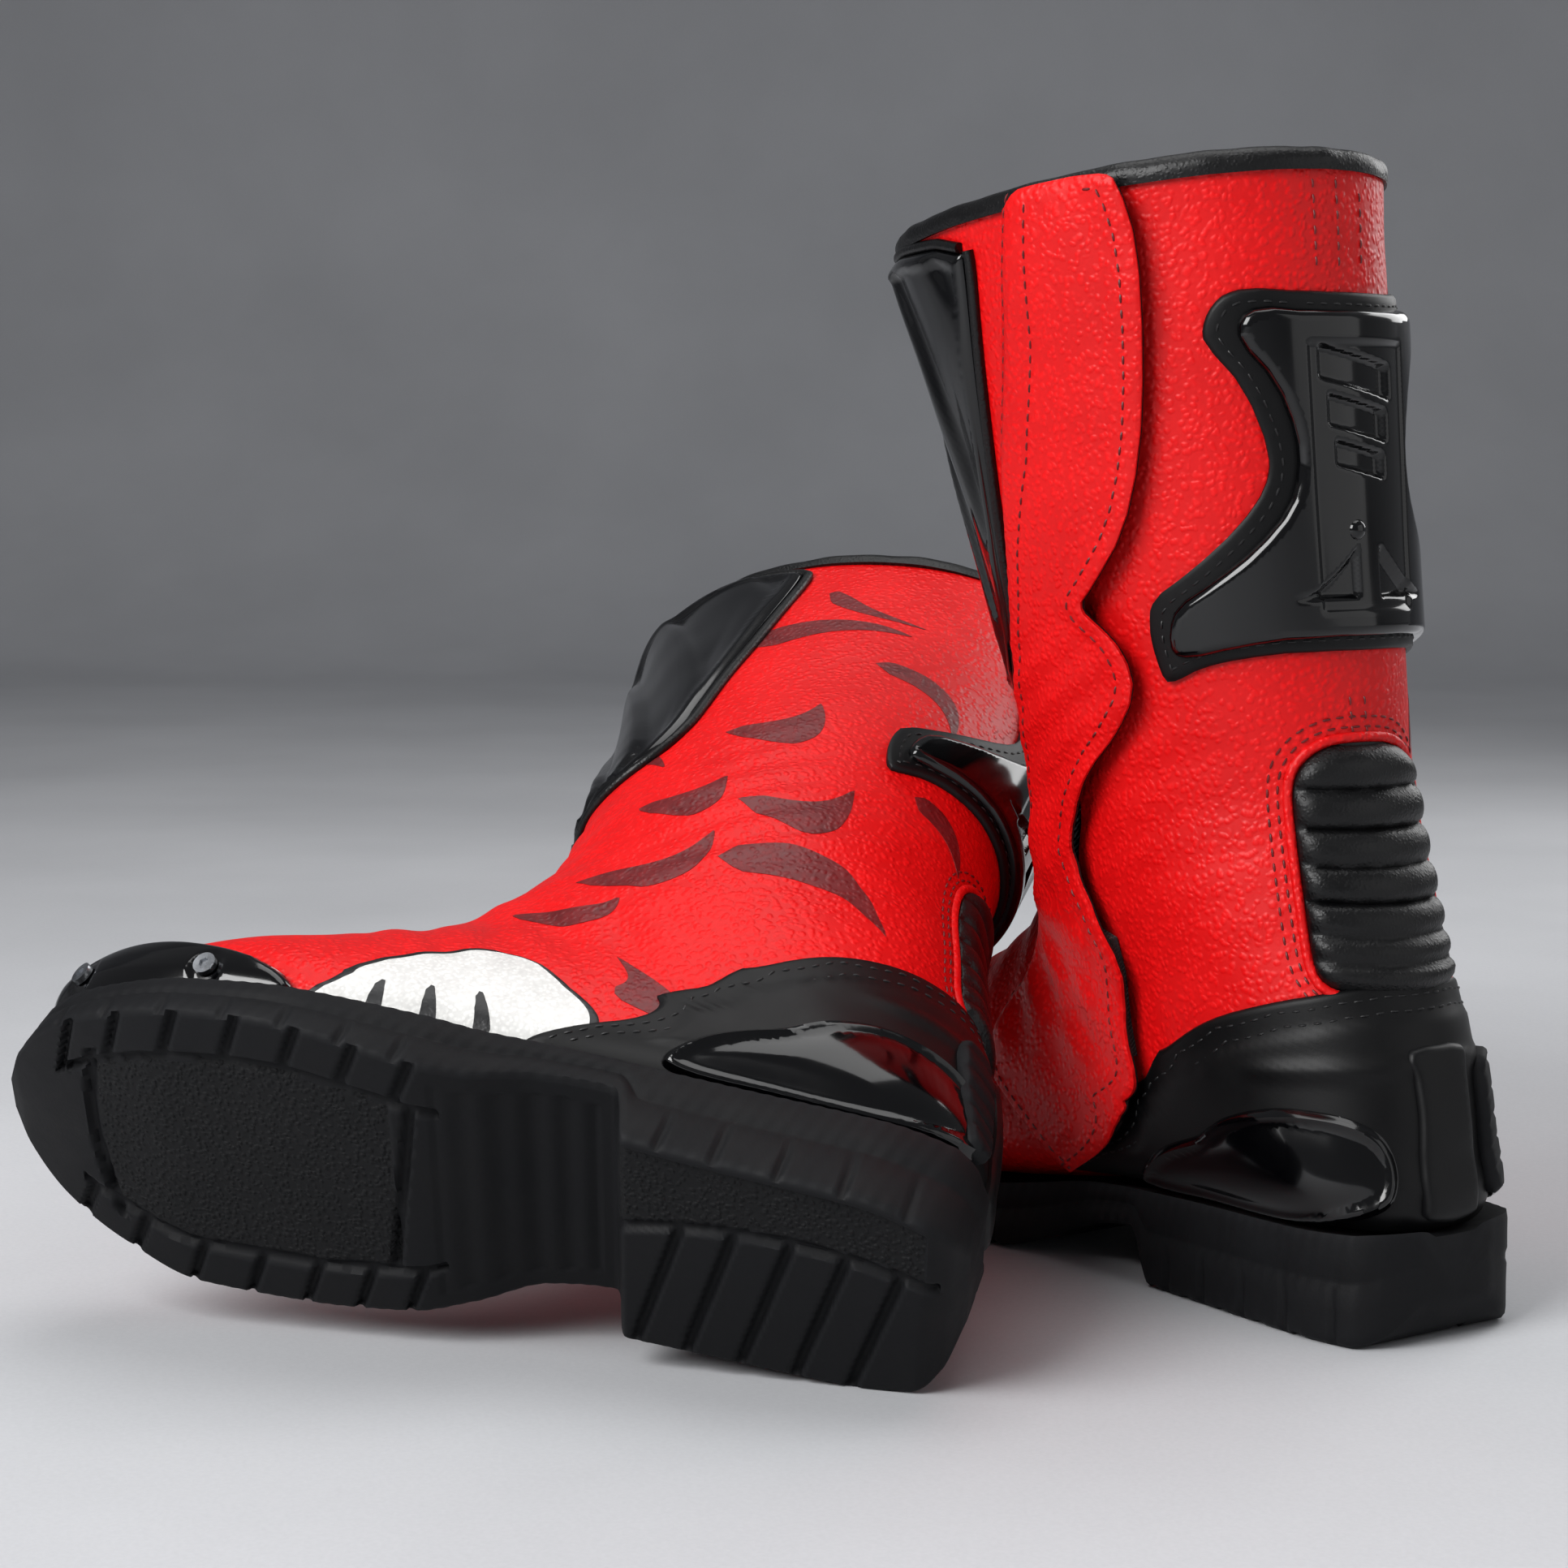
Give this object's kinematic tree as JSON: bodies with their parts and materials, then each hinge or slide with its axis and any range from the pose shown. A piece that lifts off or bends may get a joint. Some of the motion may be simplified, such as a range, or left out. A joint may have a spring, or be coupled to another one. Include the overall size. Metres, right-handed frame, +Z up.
{
  "type": "riding boots",
  "caption": "Pair of tall armoured leather riding boots, one upright and one lying, each with a padded collar, side zip under a hook-and-loop flap, shin plate, heel cup and lugged sole.",
  "frame": {"origin": "On the ground, at the centre of the flat tread under the right heel.", "axes": "+X runs to the right boot's toe, +Y to the wearer's left (the inner side of the right boot), +Z is up."},
  "size_m": [0.3666, 0.4165, 0.3484],
  "materials": {
    "rubber_sole": "moulded matt tread rubber",
    "shank_board": "moulded board",
    "insole_fabric": "woven sock cover",
    "red_leather": "semi-gloss red coated full-grain leather",
    "lining_mesh": "knitted spacer mesh",
    "black_padding": "soft matt black padded leather",
    "black_fabric": "woven tape",
    "stiffener": "moulded sheet",
    "zip_plastic": "moulded acetal",
    "zip_metal": "black lacquered zinc casting",
    "black_leather": "matt black leather",
    "hook_tape": "hook tape",
    "loop_tape": "loop tape",
    "black_moulded": "satin moulded polyurethane",
    "black_rubber": "matt moulded rubber",
    "black_gloss": "gloss moulded polyurethane",
    "screw_steel": "zinc plated"
  },
  "bodies": {
    "right_boot": {"right_outsole": "rubber_sole", "right_shank": "shank_board", "right_insole": "insole_fabric", "right_foot": "red_leather", "right_shaft": "red_leather", "right_lining": "lining_mesh", "right_collar": "black_padding", "right_gusset": "black_fabric", "right_toe_stiffener": "stiffener", "right_heel_counter": "stiffener", "right_zip_tape": "black_fabric", "right_zip_teeth": "zip_plastic", "right_flap_seam": "black_leather", "right_shaft_loops": "loop_tape", "right_shin_plate": "black_moulded", "right_shin_piping": "black_leather", "right_calf_flange": "black_rubber", "right_calf_shell": "black_gloss", "right_calf_stud": "black_gloss", "right_tendon_pad": "black_padding", "right_heel_cup": "black_moulded", "right_heel_gloss": "black_gloss", "right_heel_bumper": "black_rubber", "right_toe_slider": "black_moulded", "right_toe_screws": "screw_steel"},
    "right_flap_body": {"right_flap": "red_leather", "right_flap_hooks": "hook_tape"},
    "right_slider": {"right_zip_slider": "zip_metal"},
    "right_pull": {"right_zip_pull": "zip_metal"},
    "left_boot": {"left_outsole": "rubber_sole", "left_shank": "shank_board", "left_insole": "insole_fabric", "left_foot": "red_leather", "left_shaft": "red_leather", "left_lining": "lining_mesh", "left_collar": "black_padding", "left_gusset": "black_fabric", "left_toe_stiffener": "stiffener", "left_heel_counter": "stiffener", "left_zip_tape": "black_fabric", "left_zip_teeth": "zip_plastic", "left_flap_seam": "black_leather", "left_shaft_loops": "loop_tape", "left_shin_plate": "black_moulded", "left_shin_piping": "black_leather", "left_calf_flange": "black_rubber", "left_calf_shell": "black_gloss", "left_calf_stud": "black_gloss", "left_tendon_pad": "black_padding", "left_heel_cup": "black_moulded", "left_heel_gloss": "black_gloss", "left_heel_bumper": "black_rubber", "left_toe_slider": "black_moulded", "left_toe_screws": "screw_steel"},
    "left_flap_body": {"left_flap": "red_leather", "left_flap_hooks": "hook_tape"},
    "left_slider": {"left_zip_slider": "zip_metal"},
    "left_pull": {"left_zip_pull": "zip_metal"}
  },
  "joints": [
    {"name": "left_boot_lift", "type": "slide", "parent": "right_boot", "child": "left_boot", "axis": [0.3018, 0.3018, 0.9044], "range_m": [0, 0.4]},
    {"name": "right_flap_hinge", "type": "hinge", "parent": "right_boot", "child": "right_flap_body", "pos_m": [0.0386, 0.0957, 0.3323], "axis": [0.2719, -0.1924, -0.9429], "range_deg": [0, 30]},
    {"name": "right_zip_travel", "type": "slide", "parent": "right_boot", "child": "right_slider", "axis": [0.2165, -0.1223, -0.9686], "range_m": [0, 0.055]},
    {"name": "right_pull_swing", "type": "hinge", "parent": "right_slider", "child": "right_pull", "pos_m": [0.02522, 0.08258, 0.32223], "axis": [-0.2821, 0.942, -0.182], "range_deg": [0, 20]},
    {"name": "left_flap_hinge", "type": "hinge", "parent": "left_boot", "child": "left_flap_body", "pos_m": [0.25907, -0.03028, 0.11313], "axis": [0.4005, -0.8858, 0.2343], "range_deg": [0, 20]},
    {"name": "left_zip_travel", "type": "slide", "parent": "left_boot", "child": "left_slider", "axis": [-0.4244, 0.8485, -0.316], "range_m": [0, 0.055]},
    {"name": "left_pull_swing", "type": "hinge", "parent": "left_slider", "child": "left_pull", "pos_m": [0.23832, -0.029, 0.11765], "axis": [-0.1001, 0.3029, 0.9478], "range_deg": [0, 20]}
  ]
}
